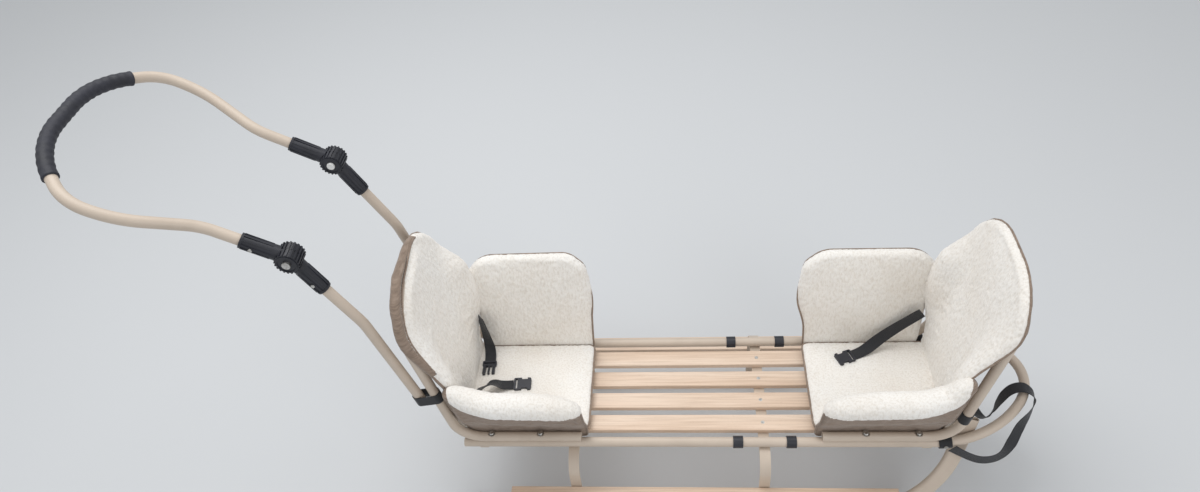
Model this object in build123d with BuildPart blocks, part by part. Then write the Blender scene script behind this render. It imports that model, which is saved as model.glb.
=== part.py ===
from build123d import *
from math import atan, cos, radians, sin, tan
import os

os.makedirs("parts", exist_ok=True)

# Two-seater sled. Millimetres, +X to the front (the pull end), +Y to the left, +Z up, floor at Z = 0.
# X = 0 is the middle of the sled and its pushing handle; deck_x is the middle of the slatted deck.

# Steel tube of the rails, seats and handle
tube_d = 20.0
tube_wall = 1.5
tube_r = tube_d / 2

# Rails and front loop
rail_span = 265.0
rail_z = 210.0
rail_back = 495.0
rail_front = 490.0
loop_rise = 15.0
loop_kink_r = 60.0
loop_lead = 5.0
loop_corner_r = 190.0
loop_crown_r = 105.0
half_span = rail_span / 2

# Runners: flat-oval tube on edge, leaning in towards the rails
runner_h = 35.0
runner_t = 15.0
runner_wall = 1.5
runner_lean = 20.0
runner_arc_r = 207.5
runner_arc = 75.0
runner_arc_x = 314.0
runner_tip = 95.0
tail_x = 376.0
tail_arc_r = 200.0
tail_arc = 25.0
tail_tip = 35.0

# Leg arches: flat bar under the deck that bends down to the runners
bar_w = 22.0
bar_t = 4.0
arch_xs = {"rear": -263.0, "front": 131.0}
shoulder_r = 42.0
crossbar_inset = 25.0

# Deck slats and footrests
slat_w = 39.0
slat_t = 12.0
slat_gap = 18.0
slat_len = 960.0
slat_count = 4
footrest_len = 803.0
footrest_top = 121.0
footrest_w = 39.0
footrest_gap = 1.5
slat_edge_r = 2.0
screw_d = 4.0
screw_head_d = 8.0
screw_gap = 0.1
screw_out = 2.0

# Seats, mirrored about the deck's middle
seat_foot_x = 245.0
seat_bend_x = 500.0
seat_bend_r = 60.0
seat_lean = 9.0
seat_top_z = 390.0
seat_top_r = 100.0
seat_bolt_xs = (330.0, 433.0)
bolt_head_d = 10.0
bolt_head_h = 3.5
bolt_dome_r = 2.2
washer_d = 15.0
washer_t = 1.0

# Seat liners
pad_t = 25.0
pad_front_x = 232.0
liner_t = 28.0
liner_gap = 2.0
sleeve_wall = 2.0
sleeve_z = 290.0
groove_gap = 0.5
wing_lean = 14.0
wing_h = 240.0
wing_corner_r = 60.0
rolled_lean = 23.0
rolled_h = 159.0
roll_r = 26.0
roll_end_r = 14.0
roll_back_x = 470.0
back_top_r = 115.0
back_overhang = 22.0

# Pushing handle
push_foot_x = 554.6
push_foot_z = 150.0
push_bend_x = 608.9
push_bend_z = 385.0
push_bend_r = 120.0
joint_back = 690.0
joint_z = 556.0
handle_rise = 31.0
neck_len = 148.0
flare_len = 261.0
flare_half = 178.0
bow_len = 339.0
handle_len = 420.0
bow_half = 91.0
neck_r = 120.0
flare_r = 200.0
bow_side_r = 80.0
bow_r = 170.0
grip_d = 26.0
grip_share = 0.42

# Handle joints
hub_d = 44.0
hub_t = 17.0
hub_gap = 0.5
sleeve_d = 29.0
sleeve_end_d = 25.0
sleeve_floor = 3.0
bore_gap = 0.1
pin_d = 8.0
pin_gap = 0.05
upper_sleeve = 83.0
lower_sleeve = 85.0
button_d = 15.0
button_t = 4.0
ring_h = 1.2
ring_w = 2.0
rim_teeth = 20
tooth_w = 3.0
sleeve_ribs = 10
rib_w = 2.0
rib_start = 30.0
collar_t = 4.0
collar_out = 1.2
sleeve_screw_d = 7.0
sleeve_screw_h = 1.5
sleeve_screw_at = 62.0

# Straps
strap_w = 25.0
strap_t = 1.6
arc_share = 0.45
buckle_len = 38.0
buckle_w = 31.0
buckle_t = 8.0
buckle_bar = 14.0
buckle_corner_r = 4.0
buckle_rest = 0.3
buckle_slot = 4.0
buckle_slot_w = 26.0
window_len = 13.0
window_w = 4.0
prong_len = 22.0
prong_w = 6.0
loop_x = 488.0
loop_lift = 1.3
loop_slack = 1.2
loop_tilt = 7.5
rivet_d = 8.0
rivet_h = 1.2
clip_w = 20.0
clip_t = 2.5
clip_xs = (77.0, 185.0)
tie_z = 160.0
tie_slack = 1.2
liner_tie_z = 88.0

# Worked out from the sizes above
deck_z = rail_z - tube_r + slat_t
crossbar_x = slat_len / 2 - crossbar_inset
seat_z = rail_z + tube_d
rise = radians(loop_rise)
corner_u = loop_kink_r * tan(rise / 2) + loop_lead + loop_corner_r * tan(radians(45) / 2)
crown_u = corner_u + half_span
crown_reach = crown_u - loop_crown_r * (2 ** 0.5 - 1)
loop_front = rail_front + (crown_reach + tube_r) * cos(rise)
handle_back = joint_back + handle_len * cos(radians(handle_rise)) + grip_d / 2
deck_x = (handle_back - loop_front) / 2
lean = radians(runner_lean)
plank_y = half_span - (tube_r + runner_t / 2) * cos(lean)
plank_z = rail_z - (tube_r + runner_t / 2) * sin(lean)
round_v = (runner_h - runner_t) / 2
ground_v = round_v - (plank_z - runner_t / 2) / cos(lean)
leg_y = plank_y - (ground_v + round_v) * sin(lean)
leg_foot_z = plank_z + (ground_v + round_v) * cos(lean) + runner_t / 2
slat_ys = [(n - (slat_count - 1) / 2) * (slat_w + slat_gap) for n in range(slat_count)]


def tube(path, outer_d, wall):
    """Hollow round tube along a path."""
    with BuildPart() as swept:
        with BuildSketch(Plane(origin=path @ 0, z_dir=path % 0)):
            Circle(outer_d / 2)
            Circle(outer_d / 2 - wall, mode=Mode.SUBTRACT)
        sweep(path=path)
    return swept.part


def keep(name, label):
    name.part.label = label
    export_step(name.part, f"parts/{label}.step")


# Rails and front loop, one bent tube
with BuildLine() as rail_line:
    near = [
        (deck_x - rail_back, -half_span, rail_z),
        (deck_x + rail_front, -half_span, rail_z),
        (deck_x + rail_front + corner_u * cos(rise), -half_span, rail_z + corner_u * sin(rise)),
    ]
    crown = (deck_x + rail_front + crown_u * cos(rise), 0, rail_z + crown_u * sin(rise))
    far = [(x, -y, z) for x, y, z in reversed(near)]
    loop_radii = [loop_kink_r, loop_corner_r, loop_crown_r, loop_corner_r, loop_kink_r]
    FilletPolyline(*near, crown, *far, radius=loop_radii)
with BuildPart() as rail_loop:
    add(tube(rail_line.wire(), tube_d, tube_wall))
keep(rail_loop, "rail_loop")

# Runners, drawn in a plane that leans in by runner_lean
for side, sign in (("left", 1), ("right", -1)):
    lean_plane = Plane(
        origin=(deck_x, sign * plank_y, plank_z), x_dir=(1, 0, 0), z_dir=(0, -cos(lean), -sign * sin(lean))
    )
    with BuildLine(lean_plane) as runner_line:
        base = Line((-tail_x, ground_v), (runner_arc_x, ground_v))
        front_arc = JernArc(base @ 1, (1, 0), runner_arc_r, runner_arc)
        Line(front_arc @ 1, front_arc @ 1 + (front_arc % 1) * runner_tip)
        tail_bend = JernArc(base @ 0, (-1, 0), tail_arc_r, -tail_arc)
        Line(tail_bend @ 1, tail_bend @ 1 + (tail_bend % 1) * tail_tip)
    path = runner_line.wire()
    with BuildPart() as runner:
        with BuildSketch(Plane(origin=path @ 0, x_dir=lean_plane.z_dir, z_dir=path % 0)):
            SlotOverall(runner_h, runner_t, rotation=90)
            bore = 2 * runner_wall
            SlotOverall(runner_h - bore, runner_t - bore, rotation=90, mode=Mode.SUBTRACT)
        sweep(path=path)
    keep(runner, f"runner_{side}")

# Bolts that hold the runners' upper ends to the rails, heads on the inner side
tip_v = ground_v + runner_arc_r * (1 - cos(radians(runner_arc)))
bolt_u = runner_arc_x + runner_arc_r * sin(radians(runner_arc)) - tip_v / tan(radians(runner_arc))
with BuildPart() as runner_bolts:
    for sign in (-1, 1):
        inward = Vector(0, -sign * cos(lean), -sin(lean))
        start = Vector(deck_x + bolt_u, sign * plank_y, plank_z) + inward * (runner_t / 2)
        bolt_plane = Plane(origin=start, x_dir=(1, 0, 0), z_dir=inward)
        with BuildSketch(bolt_plane):
            Circle(washer_d / 2)
        extrude(amount=washer_t)
        with BuildSketch(bolt_plane.offset(washer_t)):
            Circle(bolt_head_d / 2)
        extrude(amount=bolt_head_h, taper=20)
keep(runner_bolts, "runner_bolts")


# Leg arches: a flat bar under rails and slats, bent down to the runners, with a tab for each footrest
bar_z = rail_z - tube_r - bar_t / 2
tab_z = footrest_top - slat_t - bar_t
footrest_in = leg_y + bar_t / 2 + footrest_gap
footrest_y = footrest_in + footrest_w / 2
for name, x in arch_xs.items():
    with BuildPart() as leg_arch:
        with BuildLine(Plane.YZ.offset(deck_x + x)) as arch_line:
            corners = [(-leg_y, leg_foot_z), (-leg_y, bar_z), (leg_y, bar_z), (leg_y, leg_foot_z)]
            FilletPolyline(*corners, radius=shoulder_r)
        arch = arch_line.wire()
        with BuildSketch(Plane(origin=arch @ 0, x_dir=(1, 0, 0), z_dir=arch % 0)):
            Rectangle(bar_w, bar_t)
        sweep(path=arch)
        for sign in (-1, 1):
            with Locations((deck_x + x, sign * (leg_y + footrest_y + footrest_w / 4) / 2, tab_z + bar_t / 2)):
                Box(bar_w, footrest_y + footrest_w / 4 - leg_y, bar_t)
        with Locations(*[(deck_x + x, y, bar_z + bar_t / 2) for y in slat_ys]):
            Hole(screw_d / 2 + screw_gap, depth=bar_t)
        with Locations(*[(deck_x + x, sign * footrest_y, tab_z + bar_t) for sign in (-1, 1)]):
            Hole(screw_d / 2 + screw_gap, depth=bar_t)
    keep(leg_arch, f"leg_arch_{name}")

# Crossbars under the ends of the deck
for name, sign in (("rear", -1), ("front", 1)):
    with BuildPart() as crossbar:
        with Locations((deck_x + sign * crossbar_x, 0, bar_z)):
            Box(bar_w, rail_span + tube_r, bar_t)
        fillet(crossbar.edges().filter_by(Axis.Z), bar_t)
    keep(crossbar, f"crossbar_{name}")

# Deck slats, screwed to the arches
for n, y in enumerate(slat_ys):
    with BuildPart() as slat:
        with Locations((deck_x, y, deck_z - slat_t / 2)):
            Box(slat_len, slat_w, slat_t)
        fillet(slat.edges().filter_by(Axis.X), slat_edge_r)
        with Locations(*[(deck_x + x, y, deck_z) for x in arch_xs.values()]):
            CounterSinkHole(screw_d / 2 + screw_gap, screw_head_d / 2 + screw_gap)
    keep(slat, f"slat_{n + 1}")

# Footrests
for side, sign in (("left", 1), ("right", -1)):
    with BuildPart() as footrest:
        with Locations((deck_x, sign * footrest_y, footrest_top - slat_t / 2)):
            Box(footrest_len, footrest_w, slat_t)
        fillet(footrest.edges().filter_by(Axis.X), slat_edge_r)
        with Locations(*[(deck_x + x, sign * footrest_y, footrest_top) for x in arch_xs.values()]):
            CounterSinkHole(screw_d / 2 + screw_gap, screw_head_d / 2 + screw_gap)
    keep(footrest, f"footrest_{side}")

# Seat frames: one tube each, lying on both rails and bent up to the backrest
slope = radians(seat_lean)
top_x = seat_bend_x + (seat_top_z - tube_d) * tan(slope)
seat_paths = {}
for name, sign in (("rear", -1), ("front", 1)):
    with BuildLine() as seat_line:
        side_points = [
            (deck_x + sign * seat_foot_x, -half_span, seat_z),
            (deck_x + sign * seat_bend_x, -half_span, seat_z),
            (deck_x + sign * top_x, -half_span, rail_z + seat_top_z),
        ]
        other_side = [(x, -y, z) for x, y, z in reversed(side_points)]
        FilletPolyline(*side_points, *other_side, radius=[seat_bend_r, seat_top_r, seat_top_r, seat_bend_r])
    seat_paths[name] = seat_line.wire()
    with BuildPart() as seat_frame:
        add(tube(seat_paths[name], tube_d, tube_wall))
    keep(seat_frame, f"seat_frame_{name}")

# Seat liners: soft pad, back and side wings in one piece. The back is a sleeve pulled over the frame
wing_in = half_span - tube_r - liner_gap - liner_t
wing_foot = deck_z + 0.3
wing_knee = seat_z + tube_r + liner_gap
back_low = (sleeve_z - tube_d) / cos(slope)
back_high = (seat_top_z - tube_d) / cos(slope) + back_overhang
sleeve_w = rail_span + tube_d + 2 * sleeve_wall
for name, sign in (("rear", -1), ("front", 1)):
    behind = (tube_r + sleeve_wall) / cos(slope)
    back_x = deck_x + sign * (seat_bend_x + behind)
    back_dir = (-sign * cos(slope), 0, sin(slope))
    back_plane = Plane(origin=(back_x, 0, seat_z), x_dir=(0, -sign, 0), z_dir=back_dir)
    pad_back = deck_x + sign * (seat_bend_x - liner_t)
    pad_front = deck_x + sign * pad_front_x
    with BuildPart() as liner:
        with Locations(((pad_back + pad_front) / 2, 0, wing_foot + pad_t / 2)):
            Box(abs(pad_back - pad_front), 2 * (wing_in + liner_t), pad_t)
        with BuildSketch(back_plane):
            with Locations((0, (back_low + back_high) / 2)):
                Rectangle(sleeve_w, back_high - back_low)
            fillet(vertices().group_by(Axis.Y)[-1], back_top_r)
            with Locations((0, back_low / 2)):
                Rectangle(2 * (wing_in + liner_t), back_low + 1)
        extrude(amount=liner_t)
        for y_sign, lean_out, panel_h in ((1, wing_lean, wing_h), (-1, rolled_lean, rolled_h)):
            out = radians(lean_out)
            wing_top = (wing_in + panel_h * sin(out), wing_knee + panel_h * cos(out))
            wing_end = back_x - sign * liner_t + sign * (wing_top[1] - seat_z) * tan(slope)
            with BuildPart(mode=Mode.PRIVATE) as wing:
                with BuildSketch(Plane.YZ.offset(pad_front)):
                    with BuildLine():
                        Polyline(
                            (y_sign * wing_in, wing_foot),
                            (y_sign * wing_in, wing_knee),
                            (y_sign * wing_top[0], wing_top[1]),
                            (y_sign * (wing_top[0] + liner_t * cos(out)), wing_top[1] - liner_t * sin(out)),
                            (y_sign * (wing_in + liner_t), wing_knee - liner_t * tan(out / 2)),
                            (y_sign * (wing_in + liner_t), wing_foot),
                            close=True,
                        )
                    make_face()
                extrude(amount=sign * (seat_bend_x + seat_bend_r - pad_front_x))
                with BuildSketch(Plane.XZ):
                    with BuildLine():
                        Polyline(
                            (pad_front, wing_foot),
                            (pad_front, wing_top[1]),
                            (wing_end, wing_top[1]),
                            (back_x - sign * liner_t, seat_z),
                            (pad_back, wing_foot),
                            close=True,
                        )
                    make_face()
                    top_corners = vertices().group_by(Axis.Y)[-1].sort_by(Axis.X)
                    fillet(top_corners[-1 if sign < 0 else 0], wing_corner_r)
                extrude(amount=rail_span, both=True, mode=Mode.INTERSECT)
            add(wing.part)
        roll_y = wing_top[0] + liner_t / 2 * cos(out)
        roll_x = deck_x + sign * (pad_front_x + roll_back_x) / 2
        with BuildPart(mode=Mode.PRIVATE) as roll:
            with Locations(Location((roll_x, -roll_y, wing_top[1]), (0, 90, 0))):
                Cylinder(roll_r, roll_back_x - pad_front_x)
            fillet(roll.edges().filter_by(GeomType.CIRCLE), roll_end_r)
        add(roll.part)
        with BuildSketch(Plane(origin=seat_paths[name] @ 0, z_dir=seat_paths[name] % 0)):
            Circle(tube_r + groove_gap)
        sweep(path=seat_paths[name], mode=Mode.SUBTRACT)
    keep(liner, f"liner_{name}")

# Clips round the rails
with BuildPart() as rail_clips:
    for x in clip_xs:
        for y in (-half_span, half_span):
            with Locations(Location((deck_x + x, y, rail_z), (0, 90, 0))):
                Cylinder(tube_r + clip_t, clip_w)
                Cylinder(tube_r, clip_w, mode=Mode.SUBTRACT)
keep(rail_clips, "rail_clips")

# Seat bolts: dome heads on the seat tubes
for name, sign in (("rear", -1), ("front", 1)):
    with BuildPart() as bolts:
        for x in seat_bolt_xs:
            for y in (-half_span, half_span):
                with Locations((deck_x + sign * x, y, seat_z + tube_r + washer_t / 2)):
                    Cylinder(washer_d / 2, washer_t)
                with Locations((deck_x + sign * x, y, seat_z + tube_r + washer_t + bolt_head_h / 2)):
                    Cylinder(bolt_head_d / 2, bolt_head_h)
        fillet(bolts.edges().group_by(Axis.Z)[-1], bolt_dome_r)
    keep(bolts, f"seat_bolts_{name}")


def wrap(plane, length, width, band_w):
    """Webbing pulled round tubes: a band whose hole is length by width, centred on a plane."""
    with BuildPart() as band:
        with BuildSketch(plane):
            SlotOverall(length + 2 * strap_t, width + 2 * strap_t)
            SlotOverall(length, width, mode=Mode.SUBTRACT)
        extrude(amount=band_w / 2, both=True)
    return band.part


def corner_radii(points):
    """Radii of the largest arcs that fit the corners of a route."""
    radii = []
    for before, corner, after in zip(points, points[1:], points[2:]):
        first, second = Vector(*corner) - Vector(*before), Vector(*after) - Vector(*corner)
        half_turn = radians(first.get_angle(second)) / 2
        radii.append(arc_share * min(first.length, second.length) / tan(half_turn))
    return radii


def webbing(label, points, width_dir):
    """Flat strap along points given from the deck's middle and the rails' height."""
    radii = corner_radii(points)
    with BuildLine() as line:
        FilletPolyline(*[(deck_x + x, y, rail_z + z) for x, y, z in points], radius=radii)
    path = line.wire()
    print(label, "radii", [round(r) for r in radii], "length", round(path.length))
    with BuildPart() as strap:
        with BuildSketch(Plane(origin=path @ 0, x_dir=width_dir, z_dir=path % 0)):
            Rectangle(strap_w, strap_t)
        sweep(path=path)
    return strap.part


# Straps that tie the handle to the rear seat, and the front liner to its tube
seat_tube_x = deck_x - seat_bend_x - (tie_z - tube_d) * tan(slope)
push_slope = (push_bend_x - push_foot_x) / (push_bend_z - push_foot_z)
push_tube_x = deck_x - push_foot_x - (tie_z - push_foot_z) * push_slope
mean_lean = (slope + atan(push_slope)) / 2
level = Vector(cos(mean_lean), 0, sin(mean_lean))
across = Vector(0, -1, 0)
tie_x = (seat_tube_x + push_tube_x) / 2
tie_reach = (seat_tube_x - push_tube_x) * cos(mean_lean)
for side, y_sign in (("left", 1), ("right", -1)):
    with BuildPart() as tie:
        tie_mid = (tie_x, y_sign * half_span, rail_z + tie_z)
        tie_plane = Plane(origin=tie_mid, x_dir=level, z_dir=level.cross(across))
        add(wrap(tie_plane, tie_reach + tube_d + tie_slack, tube_d + tie_slack / 4, strap_w))
    keep(tie, f"handle_tie_{side}")
with BuildPart() as liner_ties:
    for y in (-half_span, half_span):
        x = deck_x + seat_bend_x + (liner_tie_z - tube_d) * tan(slope)
        tie_plane = Plane(origin=(x, y, rail_z + liner_tie_z), z_dir=(sin(slope), 0, cos(slope)))
        with BuildSketch(tie_plane):
            Circle(tube_r + strap_t)
            Circle(tube_r, mode=Mode.SUBTRACT)
        extrude(amount=strap_w / 2, both=True)
keep(liner_ties, "liner_ties")

# Pushing handle. Both swivels turn about one axis along Y
pivot = Vector(deck_x - joint_back, 0, rail_z + joint_z)
bend = Vector(deck_x - push_bend_x, 0, rail_z + push_bend_z)
low_dir = (bend - pivot).normalized()
high_dir = Vector(-cos(radians(handle_rise)), 0, sin(radians(handle_rise)))
tube_inset = hub_d / 2 + sleeve_floor
for side, y_sign in (("left", 1), ("right", -1)):
    at_side = Vector(0, y_sign * half_span, 0)
    with BuildLine() as push_line:
        FilletPolyline(
            (deck_x - push_foot_x, y_sign * half_span, rail_z + push_foot_z), bend + at_side,
            pivot + at_side + low_dir * tube_inset, radius=push_bend_r,
        )
    with BuildPart() as push_tube:
        add(tube(push_line.wire(), tube_d, tube_wall))
    keep(push_tube, f"push_tube_{side}")

    # Swivel halves: the lower disc is on the inner side, the upper disc on the outer side
    for half, direction, disc_sign, reach in (
        ("lower", low_dir, -y_sign, lower_sleeve),
        ("upper", high_dir, y_sign, upper_sleeve),
    ):
        centre = pivot + at_side
        disc_plane = Plane(origin=centre, x_dir=direction, z_dir=(0, disc_sign, 0))
        sleeve_plane = Plane(origin=centre, z_dir=direction)
        with BuildPart() as swivel:
            with BuildSketch(sleeve_plane):
                Circle(sleeve_d / 2)
            with BuildSketch(sleeve_plane.offset(reach)):
                Circle(sleeve_end_d / 2)
            loft()
            with BuildSketch(sleeve_plane.offset(rib_start)):
                with PolarLocations((sleeve_d + tube_d) / 4, sleeve_ribs):
                    Rectangle((sleeve_d - tube_d) / 2, rib_w)
            extrude(amount=reach - rib_start - collar_t)
            with BuildSketch(sleeve_plane.offset(reach - collar_t)):
                Circle(sleeve_end_d / 2 + collar_out)
            extrude(amount=collar_t)
            with BuildSketch(disc_plane.offset(-hub_t - hub_gap)):
                Circle(hub_d / 2 + hub_gap)
            extrude(amount=hub_t + 1.5 * hub_gap, mode=Mode.SUBTRACT)
            with BuildSketch(disc_plane.offset(hub_gap / 2)):
                Circle(hub_d / 2 - ring_w)
                with PolarLocations(hub_d / 2 - ring_w, rim_teeth):
                    Rectangle(2 * ring_w, tooth_w)
            extrude(amount=hub_t)
            with BuildSketch(disc_plane.offset(hub_gap / 2 + hub_t)):
                Circle(hub_d / 2 - 2 * ring_w)
                Circle(hub_d / 2 - 3 * ring_w, mode=Mode.SUBTRACT)
            extrude(amount=ring_h)
            with BuildSketch(sleeve_plane.offset(tube_inset)):
                Circle(tube_r + bore_gap)
            extrude(amount=reach, mode=Mode.SUBTRACT)
            with BuildSketch(disc_plane.offset(-hub_t)):
                Circle(pin_d / 2 + pin_gap)
            extrude(amount=3 * hub_t, mode=Mode.SUBTRACT)
        keep(swivel, f"swivel_{half}_{side}")
    with BuildPart() as pin:
        pin_plane = Plane(origin=pivot + at_side, z_dir=(0, y_sign, 0))
        with BuildSketch(pin_plane):
            Circle(pin_d / 2)
        extrude(amount=hub_t + hub_gap, both=True)
        with BuildSketch(pin_plane.offset(hub_t + hub_gap)):
            Circle(button_d / 2)
        extrude(amount=button_t)
    keep(pin, f"swivel_pin_{side}")
    with BuildPart() as button:
        with BuildSketch(pin_plane.offset(-hub_t - hub_gap)):
            Circle(button_d / 2)
        extrude(amount=-button_t)
        rims = button.edges().filter_by(GeomType.CIRCLE).sort_by(Axis.Y)
        fillet(rims[0 if y_sign > 0 else -1], button_t / 3)
    keep(button, f"release_button_{side}")

# Small screws that hold the sleeves to their tubes, on the outer side
for half, direction in (("lower", low_dir), ("upper", high_dir)):
    with BuildPart() as screws:
        for sign in (-1, 1):
            spot = pivot + direction * sleeve_screw_at + Vector(0, sign * (half_span + sleeve_d / 2), 0)
            with BuildSketch(Plane(origin=spot, z_dir=(0, sign, 0))):
                Circle(sleeve_screw_d / 2)
            extrude(amount=sleeve_screw_h)
    keep(screws, f"sleeve_screws_{half}")

# Handle loop and its grip, drawn in the plane of the handle
handle_normal = (sin(radians(handle_rise)), 0, cos(radians(handle_rise)))
handle_plane = Plane(origin=pivot, x_dir=high_dir, z_dir=handle_normal)
loop_half = [
    (tube_inset, half_span),
    (neck_len, half_span),
    (flare_len, flare_half),
    (bow_len, flare_half),
    (handle_len, bow_half),
]
with BuildLine(handle_plane) as handle_line:
    FilletPolyline(
        *loop_half, *[(u, -v) for u, v in reversed(loop_half)],
        radius=[neck_r, flare_r, bow_side_r, bow_r, bow_r, bow_side_r, flare_r, neck_r],
    )
with BuildPart() as handle_loop:
    add(tube(handle_line.wire(), tube_d, tube_wall))
keep(handle_loop, "handle_loop")
grip_u = bow_len + grip_share * (handle_len - bow_len)
grip_start = (grip_u, flare_half + grip_share * (bow_half - flare_half))
with BuildLine(handle_plane) as grip_line:
    FilletPolyline(
        grip_start, loop_half[-1], (handle_len, -bow_half), (grip_start[0], -grip_start[1]), radius=bow_r
    )
with BuildPart() as grip:
    add(tube(grip_line.wire(), grip_d, grip_d / 2 - tube_r))
keep(grip, "grip")

# Lap belts: route points x, y, z from the buckle on the pad up to the seat's corner, and the buckle's kind
lie = wing_foot + pad_t - rail_z + buckle_t / 2 + buckle_rest
belts = {
    "rear_left": ([(-464, 56, lie), (-464.5, 84, lie), (-467, 98, 80), (-474, 110, 126)], "male"),
    "rear_right": (
        [
            (-402, -8, lie), (-426, -9, lie), (-452, -34, 36),
            (-460, -68, 54), (-468, -98, 88), (-476, -121, 126),
        ],
        "female",
    ),
    "front_left": ([(335, 66, lie), (358, 75, lie), (396, 79, 50), (436, 86, 86), (472, 97, 124)], "female"),
    "front_right": (
        [(412, -68, lie), (434, -69, lie), (458, -80, 58), (468, -100, 94), (476, -120, 128)],
        "male",
    ),
}
for name, (points, kind) in belts.items():
    first = Vector(*points[1]) - Vector(*points[0])
    with BuildPart() as belt:
        add(webbing(name, points, Vector(0, 0, 1).cross(first)))
    keep(belt, f"belt_{name}")
    end = Vector(*points[0]) + Vector(deck_x, 0, rail_z)
    along = (Vector(*points[0]) - Vector(*points[1])).normalized()
    buckle_plane = Plane(origin=end + along * buckle_rest, x_dir=along, z_dir=(0, 0, 1))
    with BuildPart() as buckle:
        with BuildSketch(buckle_plane.offset(-buckle_t / 2)):
            if kind == "female":
                with Locations((buckle_len / 2, 0)):
                    RectangleRounded(buckle_len, buckle_w, buckle_corner_r)
                with Locations(*[(buckle_len * 0.62, sign * (buckle_w - window_w) / 2) for sign in (-1, 1)]):
                    Rectangle(window_len, window_w, mode=Mode.SUBTRACT)
            else:
                with Locations((buckle_bar / 2, 0)):
                    RectangleRounded(buckle_bar, buckle_w, buckle_corner_r / 2)
                for v, width in ((-buckle_w * 0.34, prong_w), (0, prong_w * 0.6), (buckle_w * 0.34, prong_w)):
                    with Locations((buckle_bar + prong_len / 2 - 2, v)):
                        Rectangle(prong_len + 2, width)
            with Locations((buckle_slot * 1.5, 0)):
                Rectangle(buckle_slot, buckle_slot_w, mode=Mode.SUBTRACT)
        extrude(amount=buckle_t)
    keep(buckle, f"buckle_{name}")

# Strap loops round the rails behind the runners' ends, each closed below the rail by a rivet
loop_dir = (cos(radians(loop_tilt)), 0, sin(radians(loop_tilt)))
loop_plane = Plane(origin=(deck_x + loop_x, 0, rail_z + loop_lift), x_dir=(0, 1, 0), z_dir=loop_dir)
for side, sign in (("left", 1), ("right", -1)):
    with BuildPart() as strap_loop:
        with BuildSketch(loop_plane):
            with Locations((sign * half_span, 0)):
                Circle(tube_r + loop_slack + strap_t)
                Circle(tube_r + loop_slack, mode=Mode.SUBTRACT)
        extrude(amount=strap_w / 2, both=True)
    keep(strap_loop, f"strap_loop_{side}")
with BuildPart() as strap_rivets:
    for sign in (-1, 1):
        rivet_y = sign * (half_span + tube_r + loop_slack + strap_t)
        with BuildSketch(Plane(origin=(deck_x + loop_x, rivet_y, rail_z + loop_lift), z_dir=(0, sign, 0))):
            Circle(rivet_d / 2)
        extrude(amount=rivet_h)
keep(strap_rivets, "strap_rivets")

# Pull strap: from the near loop over the front loop's crown, then under it to the far loop
pull_route = [
    (501.4, -144.6, -4), (530, -151, -14), (566, -160, -22), (598, -151, -20), (620, -131, -4),
    (636, -106, 18), (660, -87, 36), (676, -62, 50), (670, -44, 64), (650, -36, 70), (628, -34, 58),
    (616, -34, 32), (614, -36, 0), (610, -38, -30), (596, -34, -54), (584, -6, -62), (576, 30, -60),
    (570, 66, -54), (564, 100, -44), (554, 132, -30), (532, 149, -14), (506, 146, -5),
]
with BuildPart() as pull_strap:
    first = Vector(*pull_route[1]) - Vector(*pull_route[0])
    add(webbing("pull_strap", pull_route, first.cross(Vector(0, 0, 1).cross(first))))
keep(pull_strap, "pull_strap")

# Countersunk screws through slats and footrests into the arches
with BuildPart() as screws:
    cone_h = (screw_head_d - screw_d) / 2
    screw_len = slat_t + bar_t + screw_out
    spots = [(y, deck_z) for y in slat_ys] + [(sign * footrest_y, footrest_top) for sign in (-1, 1)]
    for x in arch_xs.values():
        for y, z in spots:
            with BuildSketch(Plane((deck_x + x, y, z - screw_gap), x_dir=(1, 0, 0), z_dir=(0, -1, 0))):
                with BuildLine():
                    Polyline(
                        (0, 0), (screw_head_d / 2, 0), (screw_d / 2, -cone_h),
                        (screw_d / 2, -screw_len), (0, -screw_len), close=True,
                    )
                make_face()
            revolve(axis=Axis((deck_x + x, y, z), (0, 0, 1)))
keep(screws, "deck_screws")
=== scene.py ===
import math
from collections import namedtuple

import bpy
import numpy as np
from mathutils import Matrix, Vector, noise


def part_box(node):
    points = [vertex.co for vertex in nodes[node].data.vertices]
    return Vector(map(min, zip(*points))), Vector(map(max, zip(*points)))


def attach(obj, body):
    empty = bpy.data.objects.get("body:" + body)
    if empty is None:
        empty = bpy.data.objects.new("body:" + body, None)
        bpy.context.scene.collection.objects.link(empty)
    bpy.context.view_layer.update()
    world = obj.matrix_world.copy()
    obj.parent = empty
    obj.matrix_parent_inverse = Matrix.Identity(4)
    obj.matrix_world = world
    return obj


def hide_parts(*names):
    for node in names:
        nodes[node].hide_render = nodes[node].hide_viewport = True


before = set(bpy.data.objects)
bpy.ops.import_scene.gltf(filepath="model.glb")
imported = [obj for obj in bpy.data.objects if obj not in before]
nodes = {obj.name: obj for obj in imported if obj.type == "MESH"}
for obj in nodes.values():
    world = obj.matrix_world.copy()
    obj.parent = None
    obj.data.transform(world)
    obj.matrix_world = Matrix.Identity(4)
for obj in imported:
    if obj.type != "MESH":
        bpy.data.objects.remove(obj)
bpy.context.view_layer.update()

MM = 0.001


# The sled's own frame of reference, read from the CAD: the deck's middle, and the height of the rails' middle line
slat_low, slat_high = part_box("slat_1")
clip_low, clip_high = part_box("rail_clips")
DECK_X = ((slat_low + slat_high) / 2).x
RAIL_Z = (clip_low.z + clip_high.z) / 2


def at(x, y, z):
    """A point given in millimetres from the deck's middle and the rails' height."""
    return Vector((DECK_X + x * MM, y * MM, RAIL_Z + z * MM))


# Camera: the photograph's own standpoint, over the near side of the sled
CAMERA_AT = (-29, -1122, 1520)
YAW, PITCH, ROLL = math.radians(-7.63), math.radians(43.65), math.radians(6.49)
LENS = 25.5


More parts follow.
